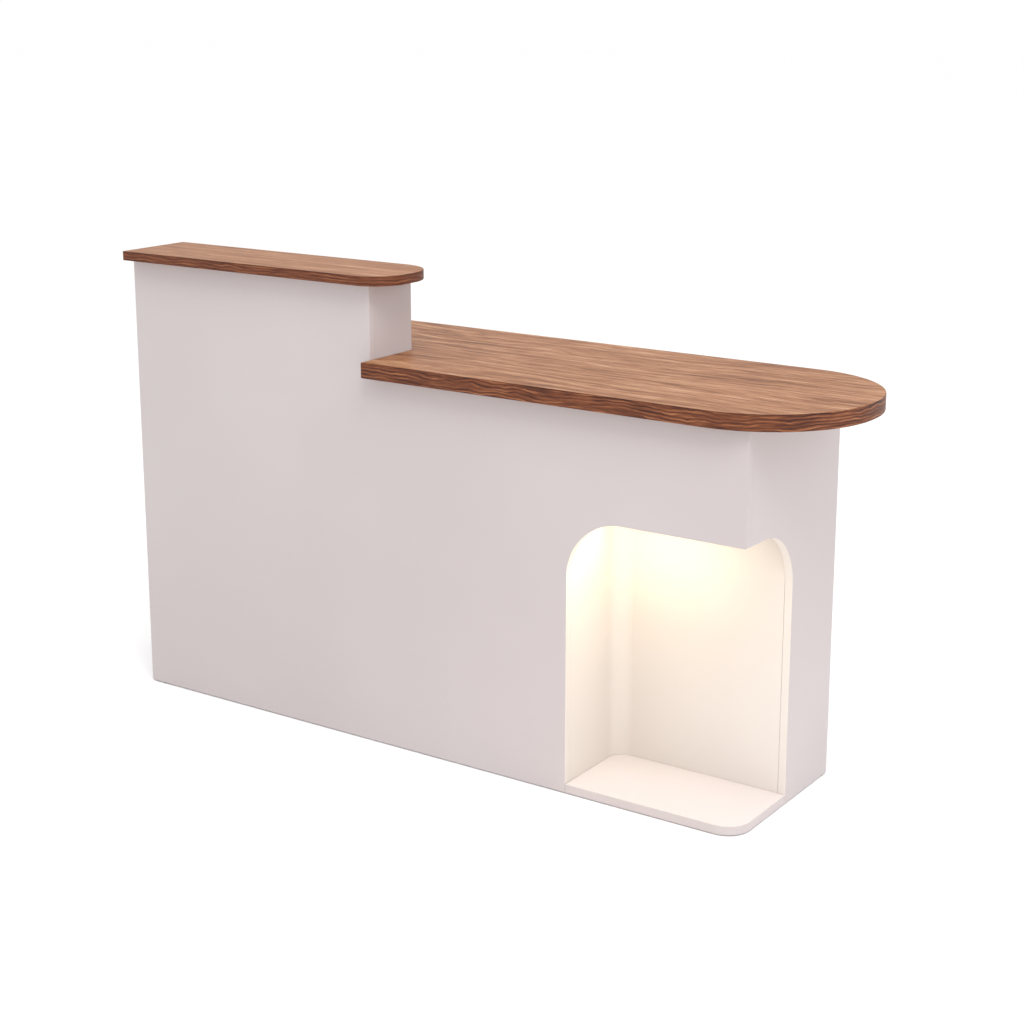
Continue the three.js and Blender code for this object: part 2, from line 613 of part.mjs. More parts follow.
function camLock() {
  const back = BODY_BACK - BOARD - 4;
  const barrelLength = BODY_BACK - back;
  const bore = PLUG_RADIUS + GAP;
  const collar = LOCK_RADIUS + 2;
  const barrel = turned([
    [bore, 0], [LOCK_RADIUS, 0], [LOCK_RADIUS, barrelLength + GAP], [collar, barrelLength + GAP],
    [collar, barrelLength + 2], [collar - 0.6, barrelLength + 2.6], [bore, barrelLength + 2.6], [bore, 0],
  ], 24).rotateX(-Math.PI / 2);
  add('lock_barrel', barrel, 'nickel', [LOCK_X, back, LOCK_Z]);

  const plugStart = back - GAP - CAM_THICKNESS;
  const plug = rod(PLUG_RADIUS, barrelLength + GAP + CAM_THICKNESS + 2.6, 20).rotateX(-Math.PI / 2);
  const cam = block([-CAM_WIDTH / 2, CAM_REACH], [0, CAM_THICKNESS], [-CAM_WIDTH / 2, CAM_WIDTH / 2]);
  add('lock_plug', join(plug, cam), 'nickel', [LOCK_X, plugStart, LOCK_Z]);
}

// ---- Keyboard tray: a board that slides in two steel runners hung from the worktop. Its ends are
// rebated, so that the runners' lips lie below its surface.

function keyboardTray() {
  const y0 = BODY_BACK - TRAY_DEPTH - 6;
  const y1 = BODY_BACK - 6;
  const low = WORKTOP_UNDER - TRAY_DROP;
  const high = low + TRAY_THICKNESS;
  const tray = new THREE.Shape();
  tray.moveTo(y0, low);
  tray.lineTo(y1 - 10, low);
  tray.absarc(y1 - 10, low + 10, 10, -Math.PI / 2, Math.PI / 2, false);
  tray.quadraticCurveTo(y1 - 22, high + 5, y1 - 30, high);
  tray.lineTo(y0, high);
  const half = TRAY_WIDTH / 2;
  const rebate = high - RUNNER_REBATE;
  const edge = (x) => block(
    [x - RUNNER_GRIP - 1, x + RUNNER_GRIP + 1], [y0 - 1, y1 + 1], [rebate, rebate + TRAY_THICKNESS]);
  const board = runAlongX(tray, [TRAY_CENTRE - half, TRAY_CENTRE + half], 8);
  add('keyboard_tray', cut(board, edge(TRAY_CENTRE - half), edge(TRAY_CENTRE + half)), 'lacquer');

  for (const [name, side] of [['left', -1], ['right', 1]]) {
    const inner = RUNNER_CLEARANCE;
    const x = (offset) => side * (half + offset);
    const base = low - RUNNER_CLEARANCE;
    const lid = rebate + RUNNER_CLEARANCE;
    const profile = outline([
      [x(inner - RUNNER_GRIP), base - RUNNER_STEEL], [x(inner + RUNNER_STEEL), base - RUNNER_STEEL],
      [x(inner + RUNNER_STEEL), WORKTOP_UNDER - GAP - RUNNER_STEEL],
      [x(inner + 22), WORKTOP_UNDER - GAP - RUNNER_STEEL], [x(inner + 22), WORKTOP_UNDER - GAP],
      [x(inner), WORKTOP_UNDER - GAP], [x(inner), lid + RUNNER_STEEL],
      [x(inner - RUNNER_GRIP), lid + RUNNER_STEEL], [x(inner - RUNNER_GRIP), lid], [x(inner), lid],
      [x(inner), base], [x(inner - RUNNER_GRIP), base],
    ]);
    add(`tray_runner_${name}`, runAlongY(profile, [y0, y1 - 20]), 'steel', [TRAY_CENTRE, 0, 0]);
  }
}

// ---- Cupboard behind the niche: a loose shelf, and an inset door on a piano hinge at the right.

const HINGE_X = CUPBOARD_RIGHT - DOOR_GAP / 2;
const HINGE_Y = BODY_BACK + HINGE_AXIS_OUT;
const DOOR_LOW = NICHE_FLOOR + DOOR_GAP;
const DOOR_HIGH = WORKTOP_UNDER - DOOR_GAP;

function cupboardShelf() {
  const x = [NICHE_LEFT + 1, CUPBOARD_RIGHT - 1];
  const y = [NICHE_DEPTH + BOARD + 1, BODY_BACK - BOARD - 6];
  add('cupboard_shelf', block(x, y, [SHELF_HEIGHT, SHELF_HEIGHT + BOARD]), 'lacquer');
}

function cupboardDoor() {
  const x = [NICHE_LEFT + DOOR_GAP, CUPBOARD_RIGHT - DOOR_GAP];
  add('cupboard_door', block(x, [BODY_BACK - BOARD, BODY_BACK], [DOOR_LOW, DOOR_HIGH]), 'lacquer');
  const pull = pullAlongX().rotateY(Math.PI / 2);
  add('door_pull', pull, 'steel', [x[0] + 40, BODY_BACK + GAP, (DOOR_LOW + DOOR_HIGH) / 2 + 60]);
}

function hingeLeaf(side, parity) {
  const low = DOOR_LOW + 10;
  const pitch = (DOOR_HIGH - 10 - low) / HINGE_KNUCKLES;
  const near = HINGE_Y - BODY_BACK - GAP;
  const xs = [side * 2.2, side * HINGE_WIDTH].sort((a, b) => a - b);
  const plate = block(xs, [-near, -near + HINGE_LEAF], [0, pitch * HINGE_KNUCKLES]);
  const bridge = [Math.min(0, side * 3), Math.max(0, side * 3)];
  const parts = [];
  for (let index = parity; index < HINGE_KNUCKLES; index += 2) {
    const z = index * pitch + GAP;
    const length = pitch - 2 * GAP;
    parts.push(rod(HINGE_RADIUS, length, 12).translate(0, 0, z));
    parts.push(block(bridge, [-near, -near + HINGE_LEAF], [z, z + length]));
  }
  return { geometry: join(plate, ...parts), low };
}

function doorHinge() {
  const frame = hingeLeaf(1, 0);
  add('hinge_frame_leaf', frame.geometry, 'steel', [HINGE_X, HINGE_Y, frame.low]);
  const door = hingeLeaf(-1, 1);
  add('hinge_door_leaf', door.geometry, 'steel', [HINGE_X, HINGE_Y, door.low]);
}

frontPanel();
leftEndPanel();
rightEndPanel();
riser();
worktop();
ledge();
pedestal();
frontRail();
nichePartition();
baseBoard();
nicheWalls();
nicheLight();
ledDriver();
leads();
powerInlet();
switchRocker();
grommet();
floorGlides();
cashDrawer();
storageDrawer();
camLock();
keyboardTray();
cupboardShelf();
cupboardDoor();
doorHinge();

export default counter;
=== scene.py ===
import json
from math import atan2, cos, pi, radians, sin

import bmesh
import bpy
from mathutils import Matrix, Vector

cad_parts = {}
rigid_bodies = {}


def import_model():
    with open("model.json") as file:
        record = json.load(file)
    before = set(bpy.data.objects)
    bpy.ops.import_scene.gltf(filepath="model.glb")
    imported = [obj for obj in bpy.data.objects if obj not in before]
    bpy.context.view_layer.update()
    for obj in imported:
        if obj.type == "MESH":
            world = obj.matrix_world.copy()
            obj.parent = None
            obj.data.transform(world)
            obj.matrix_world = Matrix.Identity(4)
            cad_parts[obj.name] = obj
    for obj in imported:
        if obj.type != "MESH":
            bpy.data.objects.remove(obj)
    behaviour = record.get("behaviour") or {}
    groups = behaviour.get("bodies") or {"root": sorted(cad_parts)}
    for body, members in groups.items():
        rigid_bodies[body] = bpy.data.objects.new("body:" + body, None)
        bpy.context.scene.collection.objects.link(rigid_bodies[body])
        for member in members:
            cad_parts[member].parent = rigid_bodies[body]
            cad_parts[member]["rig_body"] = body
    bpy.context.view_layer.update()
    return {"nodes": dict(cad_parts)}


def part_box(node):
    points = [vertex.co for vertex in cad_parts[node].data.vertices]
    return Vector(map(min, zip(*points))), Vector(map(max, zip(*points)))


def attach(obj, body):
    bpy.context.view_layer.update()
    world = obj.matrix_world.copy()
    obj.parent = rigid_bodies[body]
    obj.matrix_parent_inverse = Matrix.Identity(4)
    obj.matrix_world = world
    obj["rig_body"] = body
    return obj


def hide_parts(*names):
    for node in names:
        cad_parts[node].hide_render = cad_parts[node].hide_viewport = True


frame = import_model()
scene = bpy.context.scene


# ---- Studio: a pale floor, an even white surround and three large soft lamps, with the camera at
# the customer's right, a little above the tall ledge.

CAMERA_PLACE = (2.36913, -3.42339, 1.68606)
CAMERA_TILT = 76.442
CAMERA_TURN = 34.323
CAMERA_LENS = 66.98
CAMERA_SHIFT = (0.0031, -0.0645)
FLOOR_SIZE = 90
FLOOR_COLOUR = (0.97, 0.97, 0.97, 1)
FLOOR_MOTTLE = (3, 3, 3)
SURROUND_STRENGTH = 1.03
OVERHEAD = {"place": (1.6, -1.9, 4.3), "aim": (0.1, -0.1, 0.5), "size": 2.2, "power": 92}
RIGHT_FILL = {"place": (4.4, -1.0, 1.2), "aim": (0, 0, 0.6), "size": 2.0, "power": 15}
BACK_FILL = {"place": (3.0, 4.4, 3.0), "aim": (0, 0, 0.4), "size": 2.4, "power": 26}


class Wire:
    """One output of a shader node. Arithmetic on it adds Math nodes to the same tree."""

    def __init__(self, tree, socket=None):
        self.tree = tree
        self.socket = socket

    def node(self, kind, settings, values, output=0):
        made = self.tree.nodes.new(kind)
        for name, value in settings.items():
            if name == "stops":
                ramp = made.color_ramp.elements
                while len(ramp) < len(value):
                    ramp.new(1)
                for element, (position, colour) in zip(ramp, value):
                    element.position = position
                    element.color = colour
            else:
                setattr(made, name, value)
        for name, value in values.items():
            if isinstance(value, Wire):
                self.tree.links.new(value.socket, made.inputs[name])
            else:
                made.inputs[name].default_value = value
        return Wire(self.tree, made.outputs[output] if made.outputs else None)

    def maths(self, operation, first, second):
        return self.node("ShaderNodeMath", {"operation": operation}, {0: first, 1: second})

    def __add__(self, other):
        return self.maths("ADD", self, other)

    def __radd__(self, other):
        return self.maths("ADD", other, self)

    def __sub__(self, other):
        return self.maths("SUBTRACT", self, other)

    def __rsub__(self, other):
        return self.maths("SUBTRACT", other, self)

    def __mul__(self, other):
        return self.maths("MULTIPLY", self, other)

    def __rmul__(self, other):
        return self.maths("MULTIPLY", other, self)

    def noise(self, scale, detail=2, roughness=0.5):
        """Noise on this coordinate, stretched by a scale for each axis, from 0 to 1."""
        spread = self.node("ShaderNodeMapping", {}, {"Vector": self, "Scale": scale})
        return self.node(
            "ShaderNodeTexNoise", {},
            {"Vector": spread, "Scale": 1, "Detail": detail, "Roughness": roughness})

    def ramp(self, *stops):
        """A colour for each value of this wire."""
        return self.node("ShaderNodeValToRGB", {"stops": stops}, {"Fac": self})

    def step(self, low, high):
        """This value taken from low..high to 0..1, and held there outside."""
        return self.node(
            "ShaderNodeMapRange", {"interpolation_type": "SMOOTHSTEP"},
            {"Value": self, "From Min": low, "From Max": high})

    def between(self, first, second):
        """Two colours mixed by this value."""
        return self.node("ShaderNodeMix", {"data_type": "RGBA"}, {0: self, 6: first, 7: second}, 2)

    def bump(self, distance):
        """This value as a height, with a distance in metres for each unit of it."""
        return self.node("ShaderNodeBump", {}, {"Height": self, "Distance": distance, "Strength": 1})

    def parts(self):
        """The X and the Y of this coordinate."""
        split = self.node("ShaderNodeSeparateXYZ", {}, {"Vector": self})
        return split, Wire(self.tree, split.socket.node.outputs["Y"])


def new_material(name):
    made = bpy.data.materials.new(name)
    made.use_nodes = True
    made.node_tree.nodes.clear()
    return made, Wire(made.node_tree)


def coordinates(wire):
    return wire.node("ShaderNodeTexCoord", {}, {}, "Object")


def shade(wire, values):
    shader = wire.node("ShaderNodeBsdfPrincipled", {}, values)
    wire.node("ShaderNodeOutputMaterial", {}, {"Surface": shader})


def lamp(name, place, aim, size, power):
    light = bpy.data.lights.new(name, "AREA")
    light.shape = "DISK"
    light.size = size
    light.energy = power
    holder = bpy.data.objects.new(name, light)
    scene.collection.objects.link(holder)
    holder.location = place
    holder.rotation_euler = (Vector(aim) - Vector(place)).to_track_quat("-Z", "Y").to_euler()


camera = bpy.data.objects.new("camera", bpy.data.cameras.new("camera"))
camera.location = CAMERA_PLACE
camera.rotation_euler = (radians(CAMERA_TILT), 0, radians(CAMERA_TURN))
camera.data.lens = CAMERA_LENS
camera.data.shift_x, camera.data.shift_y = CAMERA_SHIFT
camera.data.clip_end = 2 * FLOOR_SIZE
scene.collection.objects.link(camera)
scene.camera = camera
scene.view_settings.view_transform = "Standard"

surround = bpy.data.worlds.new("surround")
surround.use_nodes = True
background = surround.node_tree.nodes["Background"]
background.inputs["Color"].default_value = (1, 1, 1, 1)
background.inputs["Strength"].default_value = SURROUND_STRENGTH
scene.world = surround
lamp("overhead", **OVERHEAD)
lamp("right_fill", **RIGHT_FILL)
lamp("back_fill", **BACK_FILL)

floor_paint, wire = new_material("floor_paint")
floor_mottle = coordinates(wire).noise(FLOOR_MOTTLE)
shade(wire, {
    "Base Color": FLOOR_COLOUR,
    "Roughness": 0.85 + 0.1 * floor_mottle,
    "Specular IOR Level": 0.1,
})
floor_mesh = bpy.data.meshes.new("floor")
half = FLOOR_SIZE / 2
floor_corners = [(-half, -half, 0), (half, -half, 0), (half, half, 0), (-half, half, 0)]
floor_mesh.from_pydata(floor_corners, [], [(0, 1, 2, 3)])
floor_mesh.materials.append(floor_paint)
floor = bpy.data.objects.new("floor", floor_mesh)
scene.collection.objects.link(floor)


# ---- Lacquered boards: the left end, riser, partition, rail and the pedestal's inner boards.
# Medium-density board, sprayed off-white with a satin lacquer that leaves a fine orange peel, its
# arrises eased.

LACQUER = (0.520, 0.466, 0.468, 1)
LACQUER_SHADE = (0.490, 0.436, 0.436, 1)
LACQUER_ARRIS = 0.0012
CLOUD_SCALE = (1.7, 1.7, 1.7)
PEEL_SCALE = (420, 420, 420)
LONG_WAVE_SCALE = (34, 34, 34)
PEEL_HEIGHT = 0.00003
MERGE_DISTANCE = 1e-6
FLAT_ANGLE = 0.4
SHARP_ANGLE = 34
SMOOTH_ANGLE = 36
GLUED_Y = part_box("front_panel")[1].y
GLUED_REACH = 0.0005


def lacquer_paint(name, colour, shade_colour, roughness, shine):
    made, wire = new_material(name)
    place = coordinates(wire)
    clouding = place.noise(CLOUD_SCALE, detail=3)
    peel = place.noise(PEEL_SCALE, detail=1)
    long_wave = place.noise(LONG_WAVE_SCALE, detail=1)
    shade(wire, {
        "Base Color": clouding.step(0.3, 0.75).between(shade_colour, colour),
        "Roughness": roughness + 0.10 * clouding + 0.05 * peel,
        "Normal": (peel + 2.5 * long_wave).bump(PEEL_HEIGHT),
        "Specular IOR Level": shine,
    })
    return made


lacquer = lacquer_paint("lacquer", LACQUER, LACQUER_SHADE, roughness=0.36, shine=0.42)


def at_glued_joint(edge):
    """Whether an edge lies where the front panel is glued and filled against the boards behind it."""
    return all(abs(vert.co.y - GLUED_Y) < GLUED_REACH for vert in edge.verts)


def eased(node, radius, segments=2):
    """A clean mesh of a node, with its sharp edges rounded, apart from those at a glued joint."""
    shape = bmesh.new()
    shape.from_mesh(frame["nodes"][node].data)
    bmesh.ops.remove_doubles(shape, verts=shape.verts, dist=MERGE_DISTANCE)
    bmesh.ops.dissolve_limit(shape, angle_limit=radians(FLAT_ANGLE), verts=shape.verts, edges=shape.edges)
    if radius:
        sharp = [
            e for e in shape.edges
            if e.is_manifold and e.calc_face_angle() > radians(SHARP_ANGLE) and not at_glued_joint(e)]
        bmesh.ops.bevel(
            shape, geom=sharp, offset=radius, offset_type="OFFSET", segments=segments, profile=0.5,
            affect="EDGES", clamp_overlap=True)
    shape.normal_update()
    return shape


def placed(name, shape, body, materials, replaced=()):
    """A finished piece made from a bmesh: smooth where it curves, flat where it is flat."""
    for face in shape.faces:
        face.smooth = True
    mesh = bpy.data.meshes.new(name)
    shape.to_mesh(mesh)
    shape.free()
    if "custom_normal" in mesh.attributes:
        mesh.attributes.remove(mesh.attributes["custom_normal"])
    for material in materials:
        mesh.materials.append(material)
    mesh.set_sharp_from_angle(angle=radians(SMOOTH_ANGLE))
    piece = bpy.data.objects.new(name, mesh)
    scene.collection.objects.link(piece)
    weighted = piece.modifiers.new("flat_stays_flat", "WEIGHTED_NORMAL")
    weighted.keep_sharp = True
    weighted.weight = 100
    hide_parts(*replaced)
    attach(piece, body)
    return piece


def body_of(node):
    return frame["nodes"][node]["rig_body"]


def finished(node, radius, *materials, choose=None, segments=2):
    """A node's finished piece, which stands for it. choose says which material a face takes."""
    shape = eased(node, radius, segments)
    for face in shape.faces:
        face.material_index = choose(face) if choose else 0
    return placed(node + "_piece", shape, body_of(node), materials, [node])


for node in (
    "left_end_panel", "riser_end_panel", "riser_back_panel", "pedestal_partition",
    "pedestal_bottom", "pedestal_plinth", "pedestal_shelf", "front_rail",
):
    finished(node, LACQUER_ARRIS, lacquer)


# ---- Niche and cupboard lining: on the front panel, right end, base and partition round the niche, the faces
# and sawn edges that the light falls on take a whiter, more satin copy of the lacquer as painted light, and
# the niche's floor a cooler white copy, also painted light. The inner corner is filled to a smooth cove,
# flush with both walls.

# Painted light: the lining is the same lacquer made whiter for the faces that the niche's light falls on.
LINING_PAINTED_LIGHT = (0.675, 0.626, 0.592, 1)
LINING_PAINTED_LIGHT_CLOUD = (0.653, 0.602, 0.566, 1)
# Painted light: a cooler, whiter copy of the lacquer for the lit top of the niche's floor.
NICHE_FLOOR_PAINTED_LIGHT = (0.650, 0.605, 0.612, 1)
NICHE_FLOOR_PAINTED_LIGHT_CLOUD = (0.628, 0.582, 0.586, 1)
FRONT_ARRIS = 0.0018
THIN_ARRIS = 0.0004
SQUARE_ON = 0.9
SIDE_ON = 0.5
CUT_REACH = 0.001
CUT_FOOT = 0.01
COVE_RADIUS = 0.040
COVE_STEPS = 20
COVE_START = 3

# Painted light: a whiter copy of the lacquer, for the lit niche, its cupboard shelf and the lit cut edges.
painted_light_lining = lacquer_paint("white_lining_painted_light", LINING_PAINTED_LIGHT, LINING_PAINTED_LIGHT_CLOUD, roughness=0.52, shine=0.28)
# Painted light: the niche floor's lit top is painted whiter than the lacquer.
painted_light_niche_floor = lacquer_paint("niche_floor_painted_light", NICHE_FLOOR_PAINTED_LIGHT, NICHE_FLOOR_PAINTED_LIGHT_CLOUD, roughness=0.40, shine=0.35)
niche_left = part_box("niche_partition")[1].x
niche_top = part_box("niche_ceiling")[0].z
niche_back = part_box("niche_back_wall")[0].y


def cut_in_front(face):
    """The edge of the opening sawn in the front panel."""
    spot = face.calc_center_median()
    in_height = CUT_FOOT < spot.z < niche_top + CUT_REACH
    return int(abs(face.normal.y) < SIDE_ON and spot.x > niche_left - CUT_REACH and in_height)


def cut_in_end(face):
    """The inner face of the right end panel, and the edge of the opening sawn in it."""
    spot = face.calc_center_median()
    inside = spot.y < niche_back + CUT_REACH and CUT_FOOT < spot.z < niche_top + CUT_REACH
    return int(face.normal.x < -SQUARE_ON or abs(face.normal.x) < SIDE_ON and inside)


def right_face(face):
    return int(face.normal.x > SQUARE_ON)


def top_face(face):
    return int(face.normal.z > SQUARE_ON)


# Painted light: the lit faces and sawn edges round the niche take the whiter lining instead of the lacquer.
finished("front_panel", FRONT_ARRIS, lacquer, painted_light_lining, choose=cut_in_front)
finished("niche_partition", LACQUER_ARRIS, lacquer, painted_light_lining, choose=right_face)
finished("right_end_panel", LACQUER_ARRIS, lacquer, painted_light_lining, choose=cut_in_end)
# Painted light: only the base board's top faces take the whiter niche-floor paint.
finished("base_board", LACQUER_ARRIS, lacquer, painted_light_niche_floor, choose=top_face)
for node in ("niche_back_wall", "niche_ceiling", "cupboard_shelf"):
    finished(node, THIN_ARRIS, painted_light_lining)

cove_low, cove_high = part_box("niche_corner_cove")
cove_angles = [
    radians(COVE_START + (90 - 2 * COVE_START) * step / COVE_STEPS) for step in range(COVE_STEPS + 1)]
section = [(niche_left, niche_back)] + [
    (niche_left + COVE_RADIUS * (1 - cos(angle)), niche_back - COVE_RADIUS * (1 - sin(angle)))
    for angle in cove_angles]
cove = bmesh.new()
base = cove.faces.new([cove.verts.new((x, y, cove_low.z)) for x, y in section])
grown = bmesh.ops.extrude_face_region(cove, geom=[base])
for part in grown["geom"]:
    if isinstance(part, bmesh.types.BMVert):
        part.co.z = cove_high.z
bmesh.ops.recalc_face_normals(cove, faces=cove.faces)
placed("niche_corner_cove_piece", cove, "counter", [painted_light_lining], ["niche_corner_cove"])


# ---- Wooden tops: the worktop and the ledge. Walnut-stained veneer on a thick core, satin oiled,
# with long straight grain on the faces and a darker, redder banding bent round the edges.

TOP_ARRIS = 0.0016
FACE_BANDS = (2.6, 46)
FACE_FIBRES = (13, 210)
EDGE_STREAKS = (9, 210)
EDGE_FIBRES = (30, 900)
WALNUT_STOPS = (
    (0.06, (0.090, 0.022, 0.003, 1)), (0.30, (0.210, 0.071, 0.016, 1)), (0.52, (0.312, 0.130, 0.050, 1)),
    (0.74, (0.398, 0.190, 0.094, 1)), (0.95, (0.525, 0.295, 0.165, 1)))
BAND_STOPS = (
    (0.10, (0.030, 0.007, 0.003, 1)), (0.36, (0.095, 0.025, 0.009, 1)), (0.60, (0.175, 0.053, 0.020, 1)),
    (0.90, (0.350, 0.140, 0.060, 1)))
# Painted shade: the banding is darkened in its top 4 mm, just under the top's arris.
BAND_TOP_PAINTED_SHADE = -0.004
RING_PITCH = 0.0072
WORKTOP_RADII = (0.247, 0.236)
LEDGE_RADII = (0.081, 0.089)


def stretched(along, across, scale):
    """A flat coordinate whose run and width are scaled apart."""
    return along.node("ShaderNodeCombineXYZ", {}, {"X": along * scale[0], "Y": across * scale[1], "Z": 0.0})


def walnut_face(name, drift, contrast):
    """Veneer in object coordinates: soft bands, wavy figure and fine pores, all along X."""
    made, wire = new_material(name)
    moved = wire.node("ShaderNodeMapping", {}, {"Vector": coordinates(wire), "Location": drift})
    along, across = moved.parts()
    warp = moved.noise((1.1, 2.8, 1))
    wander = moved.noise((5.5, 15, 1))
    bent = across + 0.16 * warp + 0.030 * wander
    bands = stretched(along, bent, FACE_BANDS).noise((1, 1, 1), detail=4, roughness=0.7)
    fibre = stretched(along, bent, FACE_FIBRES)
    fibres = fibre.noise((1, 1, 1), detail=3, roughness=0.72)
    pores = fibre.noise((1.6, 3.4, 1), detail=1).step(0.60, 0.72)
    tone = 0.52 + contrast * (1.9 * (bands - 0.5) + 1.5 * (fibres - 0.5))
    colour = tone.ramp(*WALNUT_STOPS)
    shade(wire, {
        "Base Color": (0.4 * pores).between(colour, WALNUT_STOPS[0][1]),
        "Roughness": 0.42 + 0.12 * fibres,
        "Normal": (fibres - 0.8 * pores).bump(0.00006),
        "Specular IOR Level": 0.22,
    })
    return made


def walnut_band(name, contrast):
    """Edge banding on its own run: X of the map goes round the top, Y goes down from its face."""
    made, wire = new_material(name)
    run = wire.node("ShaderNodeUVMap", {"uv_map": "run"}, {})
    along, down = run.parts()
    sway = run.noise((5, 10, 1))
    ripple = run.noise((22, 30, 1))
    bent = down + 0.024 * sway + 0.010 * ripple
    rings = wire.maths("SINE", bent * (2 * pi / RING_PITCH), 0.0)
    streaks = stretched(along, bent, EDGE_STREAKS).noise((1, 1, 1), detail=3, roughness=0.62)
    fibres = stretched(along, bent, EDGE_FIBRES).noise((1, 1, 1), roughness=0.6)
    figured = 0.13 * rings + 1.6 * (streaks - 0.5) + 0.9 * (fibres - 0.5)
    # Painted shade: the tone drops in the band's top few millimetres, under the arris.
    tone = 0.46 + contrast * figured - 0.20 * down.step(BAND_TOP_PAINTED_SHADE, 0)
    shade(wire, {
        "Base Color": tone.ramp(*BAND_STOPS),
        "Roughness": 0.44 + 0.14 * fibres,
        "Normal": fibres.bump(0.00008),
        "Specular IOR Level": 0.26,
    })
    return made


def edge_run(point, normal, low, high, front_radius, back_radius):
    """How far round the top's outline a point is, from the front left corner."""
    x, y = point.x, point.y
    front_turn = front_radius * pi / 2
    straight = (high.y - low.y) - front_radius - back_radius
    if x > high.x - front_radius and y < low.y + front_radius:
        angle = atan2(y - low.y - front_radius, x - high.x + front_radius) + pi / 2
        return high.x - front_radius + front_radius * angle
    if x > high.x - back_radius and y > high.y - back_radius:
        angle = atan2(y - high.y + back_radius, x - high.x + back_radius)
        return high.x - front_radius + front_turn + straight + back_radius * angle
    if normal.x > SQUARE_ON:
        return high.x - front_radius + front_turn + y - low.y - front_radius
    if normal.x < -SQUARE_ON:
        return low.x + low.y - y
    if y < (low.y + high.y) / 2:
        return x
    return 2 * high.x + front_turn + straight - x


def wooden_top(node, radii, face_material, band):
    shape = eased(node, TOP_ARRIS, 3)
    low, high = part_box(node)
    run = shape.loops.layers.uv.new("run")
    for face in shape.faces:
        face.material_index = int(abs(face.normal.z) <= SQUARE_ON)
        for loop in face.loops:
            point = loop.vert.co
            loop[run].uv = (edge_run(point, face.normal, low, high, *radii), point.z - high.z)
    placed(node + "_piece", shape, body_of(node), [face_material, band], [node])


worktop_walnut = walnut_face("worktop_walnut", drift=(0.0, 0.0, 0.0), contrast=1.1)
wooden_top("worktop", WORKTOP_RADII, worktop_walnut, walnut_band("worktop_band", contrast=1.0))
ledge_walnut = walnut_face("ledge_walnut", drift=(3.1, 1.7, 0.0), contrast=0.85)
wooden_top("ledge_top", LEDGE_RADII, ledge_walnut, walnut_band("ledge_band", contrast=0.7))


# ---- Niche light: an anodised channel let into the niche ceiling, a flexible strip of warm diodes
# on its floor and an opal lens that snaps in below and throws the light down the back wall.

GLOW = (1.0, 0.81, 0.50)
PALE_GLOW = (1.0, 0.90, 0.66, 1)
LENS_STRENGTH = 9.0
GLOW_POWER = 0.88
GLOW_SHARE = 0.58
GLOW_DROP = 0.002
SHEET_ARRIS = 0.0002
SMALL_ARRIS = 0.0003
BARE_METAL_SHADE = 0.78


def metal_paint(name, colour, roughness, stretch, streak=0.12, height=0.00001):
    """Bare metal with the fine lines of its rolling or brushing, along the axis of least stretch."""
    made, wire = new_material(name)
    place = coordinates(wire)
    lines = place.noise(stretch, detail=3, roughness=0.65)
    patches = place.noise((14, 14, 14))
    darker = tuple(BARE_METAL_SHADE * c for c in colour[:3]) + (1,)
    shade(wire, {
        "Base Color": (0.6 * lines + 0.4 * patches).step(0.25, 0.7).between(darker, colour),
        "Metallic": 1.0,
        "Roughness": roughness + streak * lines + 0.06 * patches,
        "Normal": lines.bump(height),
    })
    return made


anodised = metal_paint("anodised", (0.62, 0.63, 0.64, 1), 0.30, (12, 900, 900))
finished("led_channel", SHEET_ARRIS, anodised)

strip_base, wire = new_material("strip_base")
strip_marks = coordinates(wire).noise((240, 20, 20), detail=1)
shade(wire, {
    "Base Color": strip_marks.step(0.35, 0.65).between((0.80, 0.74, 0.60, 1), (0.88, 0.85, 0.76, 1)),
    "Roughness": 0.45 + 0.1 * strip_marks,
})
finished("led_strip", SHEET_ARRIS, strip_base)

opal, wire = new_material("opal_lens")
opal_haze = coordinates(wire).noise((60, 60, 60))
opal_ends = coordinates(wire).noise((9, 1, 1), detail=1)
shade(wire, {
    "Base Color": opal_haze.between((0.86, 0.82, 0.74, 1), (0.92, 0.89, 0.82, 1)),
    "Roughness": 0.40 + 0.15 * opal_haze,
    "Emission Color": opal_ends.between(GLOW + (1,), PALE_GLOW),
    "Emission Strength": LENS_STRENGTH,
})
finished("led_diffuser", SMALL_ARRIS, opal)

# A lamp just under the left part of the lens, away from the open end, strengthens its glow.
lens_low, lens_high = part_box("led_diffuser")
glow = bpy.data.lights.new("niche_glow", "AREA")
glow.shape = "RECTANGLE"
glow.size = GLOW_SHARE * (lens_high.x - lens_low.x)
glow.size_y = lens_high.y - lens_low.y
glow.energy = GLOW_POWER
glow.color = GLOW
glow_holder = bpy.data.objects.new("niche_glow", glow)
scene.collection.objects.link(glow_holder)
glow_holder.location = (
    lens_low.x + glow.size / 2, (lens_low.y + lens_high.y) / 2, lens_low.z - GLOW_DROP)


# ---- What comes in rows: one geometry-node tree sets a unit along a line, here the diodes of the
# niche light. They are warm white packages, soldered along the strip behind the lens.

DIODE = (0.0028, 0.0035, 0.0006)
DIODE_ARRIS = 0.0001
DIODE_PITCH = 1 / 120


